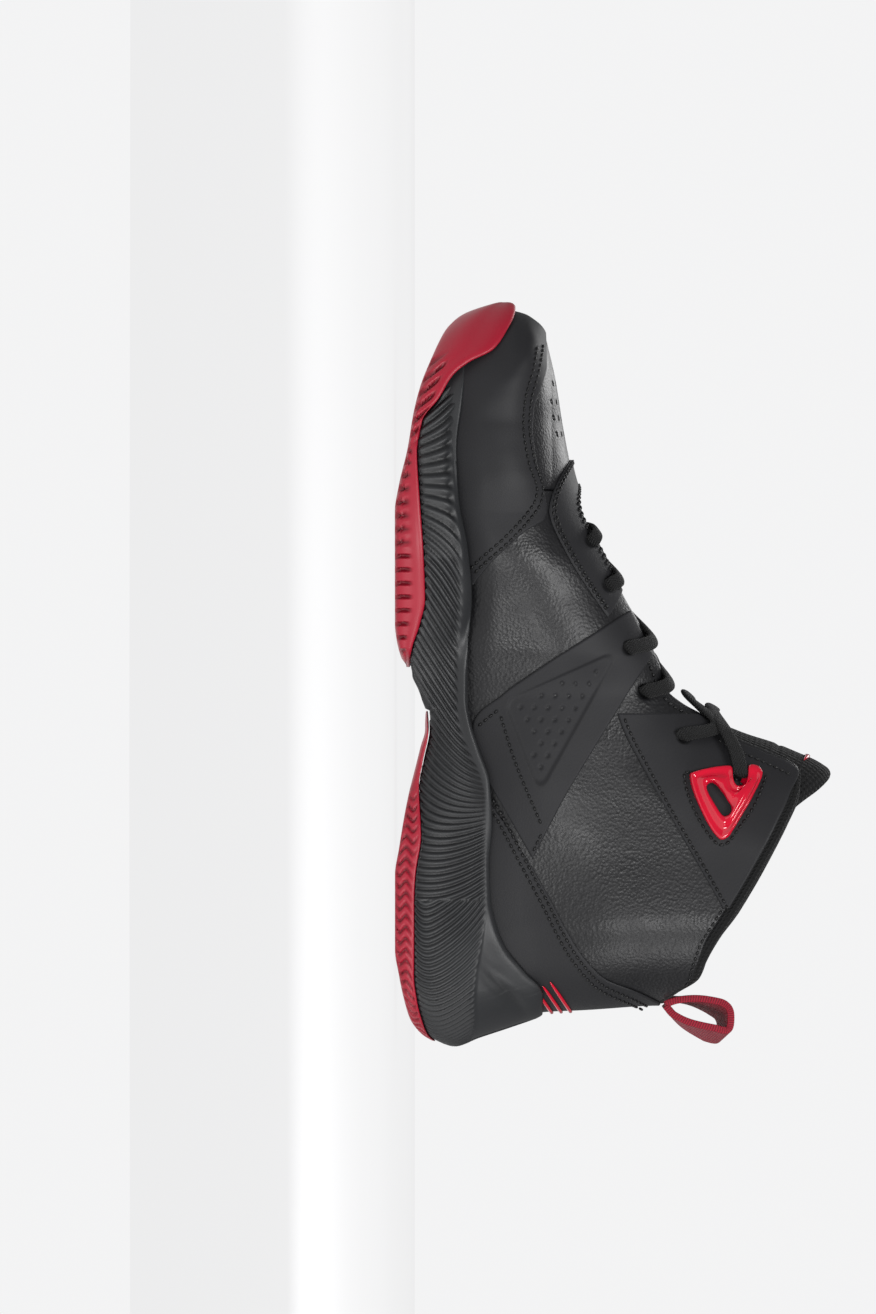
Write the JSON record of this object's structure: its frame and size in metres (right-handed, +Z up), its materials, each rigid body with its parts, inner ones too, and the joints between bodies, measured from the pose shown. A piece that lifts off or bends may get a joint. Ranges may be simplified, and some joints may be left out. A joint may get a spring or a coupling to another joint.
{
  "type": "basketball high top",
  "caption": "Laced high-top basketball shoe for the right foot, with a padded collar, side straps, heel loop and split rubber sole.",
  "frame": {"origin": "on the ground, in the middle of the shoe's length and width", "axes": "+Z up, +Y from the heel toward the toe, +X to the wearer's right, the outer side of this right shoe"},
  "size_m": [0.1125, 0.301, 0.1775],
  "materials": {
    "outsole_rubber": "matte red moulded rubber",
    "midsole_foam": "matte dark moulded foam rubber",
    "shank_plate": "matte grey fibre plate",
    "board": "stitched fibre board",
    "sockliner_fabric": "dark red brushed fabric",
    "grained_leather": "black tumbled leather",
    "smooth_leather": "black smooth leather, satin",
    "edge_felt": "light grey raw edge",
    "lining_mesh": "black air mesh",
    "foam": "cream open-cell foam",
    "counter_board": "matte moulded board",
    "bright_red": "glossy red moulded plastic",
    "red_fabric": "bright red satin lining",
    "red_webbing": "deep red woven webbing",
    "lace_cord": "black woven flat lace",
    "black_webbing": "black ribbed webbing"
  },
  "bodies": {
    "shoe": {"outsole_forefoot": "outsole_rubber", "outsole_heel": "outsole_rubber", "midsole": "midsole_foam", "shank": "shank_plate", "strobel_board": "board", "sockliner": "sockliner_fabric", "quarter_medial": "grained_leather", "quarter_lateral": "grained_leather", "quarter_lining": "lining_mesh", "vamp": "grained_leather", "vamp_lining": "lining_mesh", "toe_puff": "counter_board", "mudguard": "smooth_leather", "throat_overlay": "smooth_leather", "eyestay_backing_medial": "edge_felt", "eyestay_backing_lateral": "edge_felt", "strap_medial": "smooth_leather", "strap_lateral": "smooth_leather", "ankle_panel_medial": "smooth_leather", "ankle_panel_lateral": "smooth_leather", "heel_counter": "counter_board", "heel_overlay": "smooth_leather", "heel_stripes": "bright_red", "collar_foam": "foam", "collar_lining": "lining_mesh", "ankle_loop_medial": "bright_red", "ankle_loop_lateral": "bright_red", "lace": "lace_cord"},
    "tongue": {"tongue_cover": "smooth_leather", "tongue_foam": "foam", "tongue_lining": "red_fabric", "tongue_webbing": "black_webbing", "tongue_mark": "bright_red"},
    "pull_tab": {"pull_tab": "red_webbing"}
  },
  "joints": [
    {"name": "tongue_fold", "type": "hinge", "parent": "shoe", "child": "tongue", "pos_m": [0.0003, 0.072, 0.0665], "axis": [1, 0, 0], "range_deg": [0, 10]},
    {"name": "pull_tab_swing", "type": "hinge", "parent": "shoe", "child": "pull_tab", "pos_m": [-0.004, -0.1332, 0.1092], "axis": [1, 0, 0], "range_deg": [-15, 65]}
  ]
}
